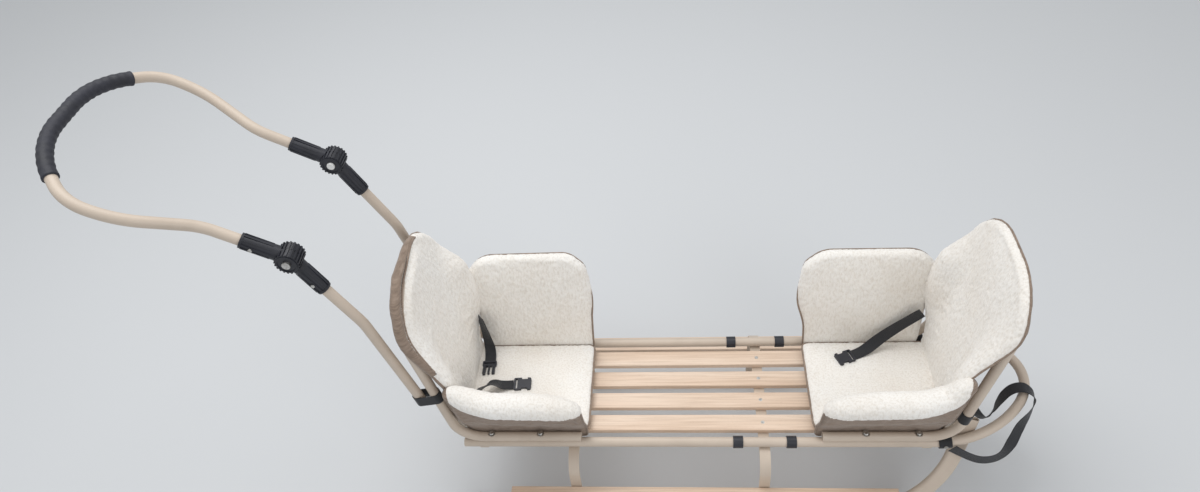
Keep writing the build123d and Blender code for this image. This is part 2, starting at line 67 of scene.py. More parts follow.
def make_camera():
    ahead = Vector((math.sin(YAW) * math.cos(PITCH), math.cos(YAW) * math.cos(PITCH), -math.sin(PITCH)))
    level = Vector((math.cos(YAW), -math.sin(YAW), 0))
    down = ahead.cross(level)
    right = math.cos(ROLL) * level + math.sin(ROLL) * down
    down = math.cos(ROLL) * down - math.sin(ROLL) * level
    camera = bpy.data.objects.new("camera", bpy.data.cameras.new("camera"))
    camera.data.lens = LENS
    camera.data.sensor_width = 36
    turn = Matrix((right, -down, -ahead)).transposed()
    camera.matrix_world = Matrix.Translation(at(*CAMERA_AT)) @ turn.to_4x4()
    camera.data.clip_end = 50
    bpy.context.scene.collection.objects.link(camera)
    bpy.context.scene.camera = camera


make_camera()


# Meshes
def new_object(name, data):
    made = bpy.data.objects.new(name, data)
    bpy.context.scene.collection.objects.link(made)
    return made


def tube_faces(rings, around, closed=False):
    """Faces between rings of points that follow each other, with both ends capped unless the tube is a loop."""
    faces = [
        (i * around + k, i * around + (k + 1) % around,
         (i + 1) % rings * around + (k + 1) % around, (i + 1) % rings * around + k)
        for i in range(rings if closed else rings - 1) for k in range(around)
    ]
    if not closed:
        faces += [tuple(reversed(range(around))), tuple(range((rings - 1) * around, rings * around))]
    return faces


def mesh_object(name, points, faces, material, smooth=True, uvs=None):
    mesh = bpy.data.meshes.new(name)
    mesh.from_pydata([tuple(p) for p in points], [], faces)
    mesh.materials.append(material)
    if smooth:
        mesh.polygons.foreach_set("use_smooth", [True] * len(mesh.polygons))
    if uvs is not None:
        layer = mesh.uv_layers.new(name="UVMap")
        for loop in mesh.loops:
            layer.data[loop.index].uv = uvs[loop.vertex_index]
    mesh.validate()
    mesh.update()
    return new_object(name, mesh)


# Materials
def shader(name, colour, roughness, **sockets):
    """A new material with its main sockets set. Returns it with a function that adds nodes."""
    material = bpy.data.materials.new(name)
    material.use_nodes = True
    tree = material.node_tree
    surface = tree.nodes["Principled BSDF"]
    surface.inputs["Base Color"].default_value = (*colour, 1)
    surface.inputs["Roughness"].default_value = roughness
    for socket, value in sockets.items():
        surface.inputs[socket.replace("_", " ")].default_value = value

    def add(kind, inputs=None, **settings):
        node = tree.nodes.new("ShaderNode" + kind)
        for key, value in settings.items():
            setattr(node, key, value)
        for key, value in (inputs or {}).items():
            if isinstance(value, bpy.types.NodeSocket):
                tree.links.new(value, node.inputs[key])
            else:
                node.inputs[key].default_value = value
        return node

    def wire(output, socket):
        tree.links.new(output, surface.inputs[socket])

    return material, add, wire


def place(add, scale=(1, 1, 1), turn=(0, 0, 0), source="Object"):
    """Texture coordinates on the object itself, scaled for each axis."""
    coordinates = add("TexCoord").outputs[source]
    return add("Mapping", {"Vector": coordinates, "Scale": scale, "Rotation": turn}).outputs["Vector"]


def ramp(add, value, stops):
    node = add("ValToRGB", {"Fac": value})
    elements = node.color_ramp.elements
    while len(elements) < len(stops):
        elements.new(0.5)
    for element, (position, colour) in zip(elements, stops):
        element.position = position
        element.color = (*colour, 1)
    return node.outputs["Color"]


def bump(add, height, strength, distance):
    return add("Bump", {"Height": height, "Strength": strength, "Distance": distance}).outputs["Normal"]


def mixed(add, factor, low, high, blend_type="MIX"):
    node = add("Mix", data_type="RGBA", blend_type=blend_type)
    factor_in, a, b = node.inputs[0], node.inputs[6], node.inputs[7]
    for socket, value in ((factor_in, factor), (a, low), (b, high)):
        if isinstance(value, bpy.types.NodeSocket):
            node.id_data.links.new(value, socket)
        else:
            socket.default_value = (*value, 1) if isinstance(value, tuple) else value
    return node.outputs[2]


def noisy(add, where, scale, detail=2.0, **settings):
    """Smooth noise at a scale, in cells to the metre."""
    inputs = {"Vector": where, "Scale": scale, "Detail": detail, **settings}
    return add("TexNoise", inputs).outputs["Fac"]


def maths(add, *values, operation="MULTIPLY"):
    node = add("Math", operation=operation)
    for socket, value in zip(node.inputs, values):
        if isinstance(value, bpy.types.NodeSocket):
            node.id_data.links.new(value, socket)
        else:
            socket.default_value = value
    return node.outputs["Value"]


def powder_coat():
    """Beige powder coating with its fine orange peel, rubbed spots and a little dust."""
    material, add, wire = shader("powder_coat", (0.56, 0.47, 0.385), 0.42)
    where = place(add)
    clouds = noisy(add, where, 9.0, 5.0, Roughness=0.6)
    beiges = [(0.3, (0.51, 0.425, 0.345)), (0.52, (0.56, 0.47, 0.385)), (0.75, (0.6, 0.51, 0.42))]
    rubs = noisy(add, place(add, (40, 160, 160)), 1.0, 4.0)
    worn = ramp(add, rubs, [(0.66, (0, 0, 0)), (0.8, (1, 1, 1))])
    wire(mixed(add, maths(add, worn, 0.16), ramp(add, clouds, beiges), (0.72, 0.66, 0.58)), "Base Color")
    wire(ramp(add, clouds, [(0.3, (0.36,) * 3), (0.7, (0.5,) * 3)]), "Roughness")
    wire(bump(add, noisy(add, where, 620.0), 0.22, 0.0006), "Normal")
    return material


def beech():
    """Varnished beech: long grain along X, short dark flecks and a slow change of tone from board to board."""
    material, add, wire = shader("beech", (0.72, 0.55, 0.42), 0.42)
    slow = noisy(add, place(add, (2.2, 22, 22)), 1.0, 3.0)
    grain = noisy(add, place(add, (7, 260, 260)), 1.0, 6.0, Roughness=0.62)
    flecks = add("TexVoronoi", {"Vector": place(add, (85, 850, 850)), "Scale": 1.0}).outputs["Distance"]
    boards = ramp(add, slow, [(0.3, (0.69, 0.52, 0.39)), (0.5, (0.75, 0.585, 0.455)), (0.72, (0.8, 0.655, 0.53))])
    lines = ramp(add, grain, [(0.38, (0.78, 0.74, 0.7)), (0.58, (1, 1, 1))])
    marks = ramp(add, flecks, [(0.1, (0.62, 0.5, 0.42)), (0.2, (1, 1, 1))])
    tone = mixed(add, 0.75, boards, lines, "MULTIPLY")
    wire(mixed(add, 0.45, tone, marks, "MULTIPLY"), "Base Color")
    wire(bump(add, grain, 0.25, 0.0006), "Normal")
    return material


def moulded(name, colour, roughness, scale=900.0):
    """Moulded plastic with a fine sparked grain."""
    material, add, wire = shader(name, colour, roughness)
    where = place(add)
    grain = noisy(add, where, scale, 3.0)
    clouds = noisy(add, where, 30.0, 4.0)
    low = tuple(0.75 * part for part in colour)
    high = tuple(min(1.35 * part, 1) for part in colour)
    wire(ramp(add, clouds, [(0.3, low), (0.7, high)]), "Base Color")
    wire(ramp(add, clouds, [(0.3, (roughness - 0.06,) * 3), (0.7, (roughness + 0.08,) * 3)]), "Roughness")
    wire(bump(add, grain, 0.3, 0.0004), "Normal")
    return material


def steel():
    """Zinc-plated screws and bolts, brushed and a little stained."""
    material, add, wire = shader("steel", (0.55, 0.54, 0.52), 0.32, Metallic=1.0)
    stain = noisy(add, place(add), 160.0, 5.0)
    wire(ramp(add, stain, [(0.35, (0.36, 0.34, 0.31)), (0.6, (0.62, 0.61, 0.59))]), "Base Color")
    wire(ramp(add, stain, [(0.3, (0.28,) * 3), (0.7, (0.45,) * 3)]), "Roughness")
    scratches = noisy(add, place(add, (300, 2600, 300)), 1.0)
    wire(bump(add, scratches, 0.12, 0.0003), "Normal")
    return material


def waves(add, where, scale, distortion, direction):
    """Even stripes across one direction, slightly uneven."""
    inputs = {"Vector": where, "Scale": scale, "Distortion": distortion}
    return add("TexWave", inputs, bands_direction=direction).outputs["Fac"]


def webbing_cloth():
    """Black polyester webbing: fine ribs and warp threads. Its UV map runs along the strap, in metres."""
    material, add, wire = shader(
        "webbing", (0.016, 0.017, 0.021), 0.72, Sheen_Weight=0.25, Sheen_Roughness=0.45
    )
    along = place(add, source="UV")
    weave = maths(add, waves(add, along, 190.0, 0.4, "Y"), waves(add, along, 260.0, 0.6, "X"))
    fuzz = noisy(add, along, 900.0, 3.0)
    wire(ramp(add, weave, [(0.0, (0.009, 0.01, 0.013)), (1.0, (0.03, 0.031, 0.037))]), "Base Color")
    wire(bump(add, maths(add, weave, fuzz, operation="ADD"), 0.5, 0.0005), "Normal")
    return material


def cover_cloth():
    """Taupe polyester cover: a plain weave of mixed threads with soft wear."""
    material, add, wire = shader(
        "cover_cloth", (0.25, 0.18, 0.135), 0.85, Sheen_Weight=0.2, Sheen_Roughness=0.5
    )
    where = place(add)
    threads = [waves(add, where, 330.0, 1.2, direction) for direction in "XZY"]
    weave = maths(add, maths(add, *threads[:2], operation="ADD"), threads[2], operation="ADD")
    weave = maths(add, weave, 0.33)
    slubs = noisy(add, place(add, (60, 60, 420)), 1.0, 4.0)
    taupes = [(0.3, (0.2, 0.145, 0.108)), (0.5, (0.27, 0.2, 0.152)), (0.72, (0.34, 0.26, 0.205))]
    shade = ramp(add, weave, [(0.2, (0.8,) * 3), (0.8, (1, 1, 1))])
    wire(mixed(add, 0.7, ramp(add, slubs, taupes), shade, "MULTIPLY"), "Base Color")
    wire(bump(add, weave, 0.4, 0.0005), "Normal")
    return material


def fleece_cloth():
    """Off-white sherpa fleece: fine matted curls, combed a little up and down, with painted shade that darkens the
    low places between the curls to a creamier tone.
    """
    material, add, wire = shader("fleece", (0.8, 0.765, 0.71), 0.95, Sheen_Weight=0.35, Sheen_Roughness=0.6)
    combed = place(add, (1, 1, 0.4))
    wool = noisy(add, combed, 260.0, 6.0, Roughness=0.65)
    slow = noisy(add, place(add), 9.0)
    curls = add("TexVoronoi", {"Vector": combed, "Scale": 300.0}, feature="SMOOTH_F1").outputs["Distance"]
    creams = [(0.3, (0.84, 0.8, 0.745)), (0.55, (0.87, 0.84, 0.795)), (0.75, (0.89, 0.87, 0.835))]
    # Painted shade: the colour darkens where the wool noise is low, the same places that the bump sinks in.
    painted_hollow_shade = ramp(add, wool, [(0.36, (0.84, 0.81, 0.77)), (0.54, (1, 1, 1))])
    wire(mixed(add, 0.8, ramp(add, slow, creams), painted_hollow_shade, "MULTIPLY"), "Base Color")
    wire(bump(add, maths(add, wool, maths(add, curls, -0.6), operation="ADD"), 0.7, 0.0015), "Normal")
    return material


POWDER = powder_coat()
BEECH = beech()
BLACK_PLASTIC = moulded("black_plastic", (0.016, 0.017, 0.024), 0.42)
WHITE_PLASTIC = moulded("white_plastic", (0.75, 0.75, 0.73), 0.35)
GRIP_FOAM = moulded("grip_foam", (0.02, 0.021, 0.03), 0.6, scale=500.0)
STEEL = steel()
WEBBING = webbing_cloth()
COVER = cover_cloth()
FLEECE = fleece_cloth()

FINISHES = {
    POWDER: ("rail_loop", "runner", "leg_arch", "crossbar", "seat_frame", "push_tube", "handle_loop"),
    BEECH: ("slat", "footrest"),
    BLACK_PLASTIC: ("swivel_lower", "swivel_upper", "rail_clips", "buckle"),
    WHITE_PLASTIC: ("release_button",),
    GRIP_FOAM: ("grip",),
    STEEL: ("deck_screws", "seat_bolts", "runner_bolts", "strap_rivets", "sleeve_screws", "swivel_pin"),
    WEBBING: ("belt", "pull_strap", "handle_tie", "liner_ties", "strap_loop"),
    FLEECE: ("liner_rear", "liner_front"),
}
for material, prefixes in FINISHES.items():
    for name, node in nodes.items():
        if name.startswith(prefixes):
            node.data.materials.clear()
            node.data.materials.append(material)


# Seat liners. Both seats share one set of panels, drawn in millimetres: x outwards from the deck's middle, y to the
# far side, z up from the rails. A panel's own coordinates are a and b in its face and n towards the child.
SEATS = {"rear": -1, "front": 1}
SEAT_LEAN = math.radians(9)
SEAT_TUBE_X, SEAT_TUBE_Z = 500, 20
SIDE_BULGE = 38.0
WING_IN = 112.0
WING_KNEE = 32.0
WING_HALF = 14.0
FAR_LEAN, NEAR_LEAN = math.radians(9.5), math.radians(15.5)
NEAR_STRAIGHTER = math.radians(6)
PAD_Z = 14.5
SLEEVE_W = 19
CROWN_RUN = 34
PIPING_R = 0.0022
VOXEL = 5.0
CLOTH_FRAMES = 20
FLEECE_SIDE, COVER_SIDE = 0, 1


def smooth_step(value, low, high):
    t = np.clip((value - low) / (high - low), 0, 1)
    return t * t * (3 - 2 * t)


def corner_arc(before, spot, after, radius, count):
    """Points of the arc that rounds the corner at a spot."""
    back, on = before - spot, after - spot
    back, on = back / np.linalg.norm(back), on / np.linalg.norm(on)
    half = math.acos(np.clip(back @ on, -1, 1)) / 2
    reach = radius / math.tan(half)
    between = (back + on) / np.linalg.norm(back + on)
    centre = spot + between * radius / math.sin(half)
    start, end = spot + back * reach - centre, spot + on * reach - centre
    rays = [(1 - share) * start + share * end for share in np.linspace(0, 1, count)]
    return [centre + ray * radius / np.linalg.norm(ray) for ray in rays]


def rounded(corners, step=4.0):
    """A closed outline with its corners rounded to their own radii, in even steps, turning left."""
    points = []
    spots = [np.array(corner[:2], float) for corner in corners]
    for k, (_, _, radius) in enumerate(corners):
        points += corner_arc(spots[k - 1], spots[k], spots[(k + 1) % len(spots)], radius, 9)
    loop = np.array(points + points[:1])
    lengths = np.concatenate([[0], np.cumsum(np.linalg.norm(np.diff(loop, axis=0), axis=1))])
    marks = np.linspace(0, lengths[-1], int(lengths[-1] / step), endpoint=False)
    return np.stack([np.interp(marks, lengths, loop[:, k]) for k in (0, 1)], axis=1)


def inside_edge(points, outline):
    """Each point's distance inside an outline, and the direction inwards from its nearest edge."""
    best, inward = np.full(len(points), np.inf), np.zeros_like(points)
    for first, second in zip(outline, np.roll(outline, -1, axis=0)):
        run = second - first
        normal = np.array([-run[1], run[0]]) / np.linalg.norm(run)
        offset = points - first
        gap = offset - np.clip(offset @ run / (run @ run), 0, 1)[:, None] * run
        distance = np.linalg.norm(gap, axis=1)
        near = distance < np.abs(best)
        best[near] = (distance * np.where(gap @ normal >= 0, 1.0, -1.0))[near]
        inward[near] = normal
    return best, inward


def bucket(a, b, seat):
    """How far the backrest comes forward at its sides. The front seat's comes further at the near side."""
    much = SIDE_BULGE * np.where((a < 0) & (seat == "front"), 1.35, 1.0)
    fade = np.where(a < 0, 1 - smooth_step(b, 180, 330), 1 - smooth_step(b, 235, 320))
    return much * smooth_step(np.abs(a), 66, 138) * smooth_step(b, 5, 170) * fade


def back_place(points, seat):
    """Backrest: a across, b up its slope from the seat tube, n in front of the tube's middle."""
    a, b, n = points.T
    n = n + bucket(a, b, seat)
    x = SEAT_TUBE_X + b * math.sin(SEAT_LEAN) - n * math.cos(SEAT_LEAN)
    return np.stack([x, a, SEAT_TUBE_Z + b * math.cos(SEAT_LEAN) + n * math.sin(SEAT_LEAN)], axis=1)


def wing_place(points, lean, side):
    """Side wing: a outwards along the sled, b up from its knee, n towards the child. It thins to the knee."""
    a, b, n = points.T
    turn = lean * smooth_step(b, -22, 18)
    rise = np.maximum(b, 0)
    depth = (WING_HALF - n) * (0.4 + 0.6 * smooth_step(b, 0, 70))
    y = WING_IN + rise * np.sin(lean) + depth * np.cos(turn)
    z = WING_KNEE + np.minimum(b, 0) + rise * np.cos(lean) - (depth - WING_HALF) * np.sin(turn)
    return np.stack([a, side * y, z], axis=1)


def far_place(points, seat):
    """The front seat's far wing reaches a little further over the deck and is lower."""
    placed = wing_place(points, FAR_LEAN, 1)
    if seat == "front":
        x, z = placed[:, 0].copy(), placed[:, 2].copy()
        placed[:, 0] -= 12 * (1 - smooth_step(x, 232, 330)) * smooth_step(z, 60, 130)
        placed[:, 2] -= 6 * smooth_step(z, 150, 260)
    return placed


def near_place(points, seat):
    """The near wing stands straighter at its rear. The front seat's is higher there."""
    lean = NEAR_LEAN - NEAR_STRAIGHTER * smooth_step(points[:, 0], 390, 490)
    placed = wing_place(points, lean, -1)
    if seat == "front":
        x, z = placed[:, 0], placed[:, 2].copy()
        placed[:, 2] += 20 * smooth_step(x, 452, 492) * smooth_step(z, 110, 200)
    return placed


def pad_place(points, seat):
    """The pad lies flat on the deck, alike in both seats."""
    a, b, n = points.T
    return np.stack([a, b, PAD_Z + n], axis=1)


# A panel's outline as corners a, b, radius; half its thickness; how much its front and back are crowned, as shares of
# that; how far its filling may swell, in metres; and how it is placed
Panel = namedtuple("Panel", "corners half front back cap placed")
PANELS = {
    "back": Panel(
        [
            (118, -8, 14), (124, 60, 60), (140, 118, 80), (150, 190, 60), (144, 282, 60), (144, 403, 118),
            (-144, 403, 118), (-150, 282, 60), (-152, 200, 60), (-140, 118, 80), (-124, 60, 60), (-118, -8, 14),
        ],
        half=11.0, front=1.1, back=0.0, cap=0.004, placed=back_place,
    ),
    "wing_far": Panel(
        [
            (234, -26, 8), (480, -26, 8), (498, 192, 20), (466, 230, 60), (270, 232, 45), (236, 198, 40),
            (229, 140, 100),
        ],
        half=WING_HALF, front=0.2, back=0.1, cap=0.005, placed=far_place,
    ),
    "wing_near": Panel(
        [
            (233, -26, 8), (480, -26, 8), (500, 190, 14), (470, 168, 40), (440, 155, 60), (290, 151, 60),
            (233, 120, 25),
        ],
        half=WING_HALF, front=0.2, back=0.1, cap=0.005, placed=near_place,
    ),
    "pad": Panel(
        [(231, -112, 14), (501, -112, 12), (501, 112, 12), (231, 112, 14)],
        half=12.0, front=0.08, back=0.0, cap=0.003, placed=pad_place,
    ),
}


def sleeve_width(a, b, seat):
    """Width of the cover that shows beside the rear seat's fleece, on the near side."""
    if seat == "front":
        return np.zeros(len(a))
    return SLEEVE_W * smooth_step(-a, -110, 70) * smooth_step(b, 205, 330)


def hem(name, seat, a, b, depth):
    """Where the fleece gives way to the cover, as a share of half the panel's thickness."""
    if name == "back":
        wide = sleeve_width(a, b, seat)
        bare = -0.3 + 0.4 * (1 - smooth_step(a, -140, -100)) * (1 - smooth_step(b, 150, 330))
        return np.where(wide > 2, 1.3 - 1.7 * smooth_step(depth, wide - 2, wide + 2), bare)
    if name == "wing_far":
        return -0.8 + 1.3 * (1 - smooth_step(a, 230, 250)) * (1 - smooth_step(b, 60, 150))
    return np.full(len(a), 0.35 if name == "pad" else -0.35)


def evaluated(thing):
    """A new mesh of an object with its modifiers applied."""
    bpy.context.view_layer.update()
    graph = bpy.context.evaluated_depsgraph_get()
    return bpy.data.meshes.new_from_object(thing.evaluated_get(graph))


def drop(thing):
    data = thing.data
    bpy.data.objects.remove(thing)
    bpy.data.meshes.remove(data)


def vertex_array(mesh, what="co"):
    flat = np.empty(len(mesh.vertices) * 3)
    mesh.vertices.foreach_get(what, flat)
    return flat.reshape(-1, 3)


def panel_blank(outline, half):
    """A slab of even cells with the panel's outline, in its own flat coordinates."""
    count = len(outline)
    points = [(*p, -half) for p in outline] + [(*p, half) for p in outline]
    faces = [tuple(reversed(range(count))), tuple(range(count, 2 * count))]
    faces += [(k, (k + 1) % count, (k + 1) % count + count, k + count) for k in range(count)]
    slab = mesh_object("slab", points, faces, COVER)
    cells = slab.modifiers.new("cells", "REMESH")
    cells.mode = "VOXEL"
    cells.voxel_size = VOXEL
    blank = evaluated(slab)
    drop(slab)
    return blank


def swell(thing, pinned, cap):
    """Cloth under pressure, held along its seams. No point moves further than the cap."""
    start = vertex_array(thing.data)
    group = thing.vertex_groups.new(name="seam")
    group.add(pinned, 1.0, "REPLACE")
    cloth = thing.modifiers.new("cloth", "CLOTH")
    settings = cloth.settings
    settings.quality = 4
    settings.vertex_group_mass = "seam"
    settings.pin_stiffness = 1.0
    settings.use_pressure = True
    settings.uniform_pressure_force = 4.0
    settings.tension_stiffness = 12.0
    settings.compression_stiffness = 6.0
    settings.bending_stiffness = 0.3
    settings.effector_weights.gravity = 0.0
    cloth.collision_settings.use_collision = False
    cloth.point_cache.frame_start = 1
    cloth.point_cache.frame_end = CLOTH_FRAMES
    for step in range(1, CLOTH_FRAMES + 1):
        bpy.context.scene.frame_set(step)
    swollen = evaluated(thing)
    move = vertex_array(swollen) - start
    bpy.context.scene.frame_set(1)
    far = np.linalg.norm(move, axis=1)[:, None]
    bpy.data.meshes.remove(swollen)
    thing.modifiers.remove(cloth)
    return start + move * np.minimum(1, cap / np.maximum(far, 1e-9))


def sewn_panel(name, seat):
    """A panel's shape in metres, and how far each point lies on its fleece side."""
    panel = PANELS[name]
    half = panel.half
    outline = rounded(panel.corners)
    blank = panel_blank(outline, half)
    flat = vertex_array(blank)
    depth, inward = inside_edge(flat[:, :2], outline)
    across = np.clip((half - depth) / half, 0, 1)
    level = np.clip(flat[:, 2] / half, -1, 1)
    rim = across * np.sqrt(1 - level ** 2 / 2)
    height = level * np.sqrt(1 - across ** 2 / 2)
    flat[:, :2] += inward * ((1 - rim) * half - np.where(across > 0, depth, (1 - rim) * half))[:, None]
    crown = 1 - np.exp(-np.maximum(depth, 0) / CROWN_RUN)
    if name == "back":
        wide = sleeve_width(*flat[:, :2].T, seat)
        rise = smooth_step(depth, wide, wide + 20) - 0.3 * np.exp(-((depth - wide) / 4) ** 2)
        crown += smooth_step(wide, 2, 12) * (rise - crown)
    flat[:, 2] = height * half * (1 + crown * np.where(height > 0, panel.front, panel.back))
    shape = panel.placed(flat, seat) * MM
    blank.vertices.foreach_set("co", shape.ravel())
    piece = new_object("sewing", blank)
    pinned = np.nonzero(np.abs(depth) < 1.2 * VOXEL)[0].tolist()
    shape = swell(piece, pinned, panel.cap)
    blank.vertices.foreach_set("co", shape.ravel())
    fleecy = height - hem(name, seat, *flat[:, :2].T, depth)
    group = piece.vertex_groups.new(name="fleece")
    for k, value in enumerate(fleecy):
        group.add([k], float(np.clip(value / 2 + 0.5, 0, 1)), "REPLACE")
    index = group.index
    finer = piece.modifiers.new("finer", "SUBSURF")
    finer.levels = finer.render_levels = 1
    fine = evaluated(piece)
    levels = np.array([
        next((g.weight for g in v.groups if g.group == index), 0.0) * 2 - 1 for v in fine.vertices
    ])
    points, faces = vertex_array(fine), [tuple(polygon.vertices) for polygon in fine.polygons]
    normals = vertex_array(fine, "normal")
    drop(piece)
    bpy.data.meshes.remove(fine)
    return points, normals, levels, faces


def pile(spot, seed):
    """Height of the fleece over its backing: short curls, combed a little up and down, on slight lumps."""
    where = Vector(spot) + Vector((seed * 1.7, seed * 0.9, seed * 2.3))
    combed = Vector((where.x * 200, where.y * 200, where.z * 80))
    return noise.noise(combed) * 0.0009 + noise.noise(where * 140) * 0.0007 + noise.noise(where * 30) * 0.0005


def wrinkles(spot, seed):
    """Height of the cover's small folds, drawn out up and down."""
    where = Vector(spot) + Vector((seed * 2.1, seed * 1.3, seed * 0.7))
    folds = noise.noise(Vector((where.x * 46, where.y * 46, where.z * 16)))
    return folds * 0.0014 + noise.noise(where * 90) * 0.0004


def to_seat(points, sign):
    """From metres outwards from the deck's middle to the shared frame, for the seat on one side of the deck."""
    moved = np.array(points) * (sign, 1, 1)
    return moved + (DECK_X, 0, RAIL_Z)


def dressed(label, shape, seat, seed):
    """One seat's panel with its fleece, its cover and their small unevenness."""
    points, normals, levels, faces = shape
    lift = np.array([pile(p, seed) if level > 0 else wrinkles(p, seed) for p, level in zip(points, levels)])
    moved = to_seat(points + normals * lift[:, None], SEATS[seat])
    if seat == "rear":
        faces = [tuple(reversed(face)) for face in faces]
    piece = mesh_object(label, moved, faces, FLEECE)
    piece.data.materials.append(COVER)
    slots = [FLEECE_SIDE if sum(levels[k] for k in face) > 0 else COVER_SIDE for face in faces]
    piece.data.polygons.foreach_set("material_index", slots)
    return piece


def piping(name, route, around=8):
    """A round cord sewn along a closed seam, given in metres."""
    ahead = np.roll(route, -1, axis=0) - np.roll(route, 1, axis=0)
    ahead /= np.linalg.norm(ahead, axis=1)[:, None]
    side = np.cross(ahead, (0.31, 0.17, 0.93))
    side /= np.linalg.norm(side, axis=1)[:, None]
    up = np.cross(side, ahead)
    angles = np.linspace(0, 2 * math.pi, around, endpoint=False)
    points = [
        centre + PIPING_R * (math.cos(angle) * s + math.sin(angle) * u)
        for centre, s, u in zip(route, side, up) for angle in angles
    ]
    return mesh_object(name, points, tube_faces(len(route), around, closed=True), COVER)


def rim_route(name, seat):
    """Points along the seam between fleece and cover on a panel's rim, in metres."""
    panel = PANELS[name]
    outline = rounded(panel.corners)
    ahead = np.roll(outline, -1, axis=0) - np.roll(outline, 1, axis=0)
    inward = np.stack([-ahead[:, 1], ahead[:, 0]], axis=1) / np.linalg.norm(ahead, axis=1)[:, None]
    share = np.clip(hem(name, seat, *outline.T, np.zeros(len(outline))), -0.8, 0.8)
    inset = panel.half * (1 - np.sqrt(1 - share ** 2)) - 0.6
    if name == "back":
        inset = np.maximum(inset, sleeve_width(*outline.T, seat))
    flat = np.column_stack([outline + inward * inset[:, None], share * panel.half])
    return panel.placed(flat, seat) * MM


# The near wing's rim is rolled outwards: its centre line a, b and radius along the sled
ROLL = [
    (238, 116, 12), (246, 122, 18), (262, 132, 22), (290, 142, 25), (330, 149, 26), (380, 151, 26),
    (430, 154, 25), (458, 161, 23), (476, 171, 19), (487, 180, 13), (491, 184, 7),
]


def rolled_rim(seat):
    """The near wing's rolled rim: fleece above, cover below and at its gathered ends."""
    line = np.array(ROLL, float)
    marks = np.linspace(0, len(line) - 1, 112)
    a, b, radius = (np.interp(marks, range(len(line)), line[:, k]) for k in range(3))
    for _ in range(6):
        for values in (a, b, radius):
            values[1:-1] = (values[:-2] + 2 * values[1:-1] + values[2:]) / 4
    centre = near_place(np.column_stack([a, b, np.full(len(a), -3.0)]), seat)
    around = 60
    points = []
    for k, (spot, r) in enumerate(zip(centre, radius)):
        ahead = centre[min(k + 1, len(centre) - 1)] - centre[max(k - 1, 0)]
        ahead /= np.linalg.norm(ahead)
        side = np.cross(ahead, (0, 0, 1))
        side /= np.linalg.norm(side)
        up = np.cross(side, ahead)
        for angle in np.linspace(0, 2 * math.pi, around, endpoint=False):
            points.append(spot + r * (math.cos(angle) * side + math.sin(angle) * up))
    faces = [tuple(reversed(face)) for face in tube_faces(len(centre), around)]
    shape = mesh_object("roll", np.array(points) * MM, faces, FLEECE)
    points, normals = vertex_array(shape.data), vertex_array(shape.data, "normal")
    drop(shape)
    x = points[:, 0] / MM
    gathered = 0.35 * (1 - smooth_step(x, 244, 276)) + 1.6 * smooth_step(x, 480, 488)
    levels = normals[:, 2] + 0.42 - gathered
    return points, normals, levels, faces


for seat, sign in SEATS.items():
    shapes = {name: sewn_panel(name, seat) for name in PANELS}
    shapes["roll"] = rolled_rim(seat)
    first_seed = len(shapes) if seat == "front" else 0
    for seed, (name, shape) in enumerate(shapes.items(), first_seed):
        piece = dressed(f"liner_{seat}_{name}", shape, seat, seed)
        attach(piece, "sled")
        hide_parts(f"liner_{seat}")
    for name in PANELS:
        trim = piping(f"piping_{seat}_{name}", to_seat(rim_route(name, seat), sign))
        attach(trim, "sled")


# Straps. A route's points start from the CAD's, x, y, z from the deck's middle and the rails' height in millimetres.
# Some are moved or added. Beside each stands the direction of the strap's width there.
STRAP_W, STRAP_T = 25.0, 1.6
LIE = 31.6
BELTS = {
    "rear_left": [
        ((-464, 56, LIE), (1, 0, 0)), ((-465, 84, LIE), (1, 0, 0)), ((-472, 99, 80), (0.8, -0.5, 0.2)),
        ((-481, 111, 126), (0.45, -0.85, 0.2)),
    ],
    "rear_right": [
        ((-402, -8, LIE), (0.04, -1, 0)), ((-424, -12, 34), (0.1, -1, 0.1)), ((-440, -18, 53), (0.2, -0.9, 0.3)),
        ((-458, -36, 60), (0.1, -0.5, 0.85)), ((-472, -62, 80), (0.3, -0.3, 0.8)),
        ((-478, -92, 106), (0.7, -0.2, 0.5)), ((-482, -120, 130), (0.9, -0.1, 0.3)),
    ],
    "front_left": [
        ((335, 66, LIE), (-0.4, 0.9, 0)), ((358, 75, LIE), (-0.4, 0.9, 0.1)), ((392, 92, 56), (-0.4, 0.5, 0.75)),
        ((434, 100, 92), (-0.5, 0.2, 0.85)), ((474, 107, 121), (-0.5, 0.1, 0.85)),
    ],
    "front_right": [
        ((412, -68, LIE), (0, 1, 0)), ((434, -69, LIE), (0, 1, 0)), ((458, -80, 58), (-0.3, 0.8, 0.3)),
        ((468, -100, 94), (-0.8, 0.4, 0.2)), ((476, -120, 128), (-0.9, 0.2, 0.1)),
    ],
}
PULL = [
    ((501.4, -144.6, -4), (0, 0, 1)), ((530, -152, -20), (0, -0.1, 1)), ((564, -157, -30), (-0.1, 0, 1)),
    ((598, -151, -24), (-0.4, 0, 0.9)), ((619, -132, -4), (-0.75, 0.2, 0.6)),
    ((636, -107, 18), (-0.65, 0.1, 0.7)), ((658, -88, 36), (-0.4, -0.3, 0.85)),
    ((672, -66, 46), (-0.2, -0.6, 0.7)), ((666, -51, 57), (-0.4, -0.9, 0.3)),
    ((650, -42, 62), (-0.3, -1, 0)), ((630, -41, 54), (-0.1, -1, 0)), ((616, -45, 34), (0, -1, 0.1)),
    ((607, -50, 6), (-0.3, -0.95, 0)), ((600, -54, -24), (-0.8, -0.6, 0)), ((592, -44, -46), (-1, -0.1, 0.3)),
    ((584, -10, -58), (-1, -0.1, 0)), ((576, 30, -60), (-1, -0.1, -0.1)), ((570, 66, -54), (-0.9, 0, -0.3)),
    ((564, 100, -44), (-0.8, 0, -0.6)), ((554, 132, -30), (-0.5, 0, -0.9)), ((532, 149, -14), (-0.2, 0, -1)),
    ((506, 146, -5), (0, 0, -1)),
]


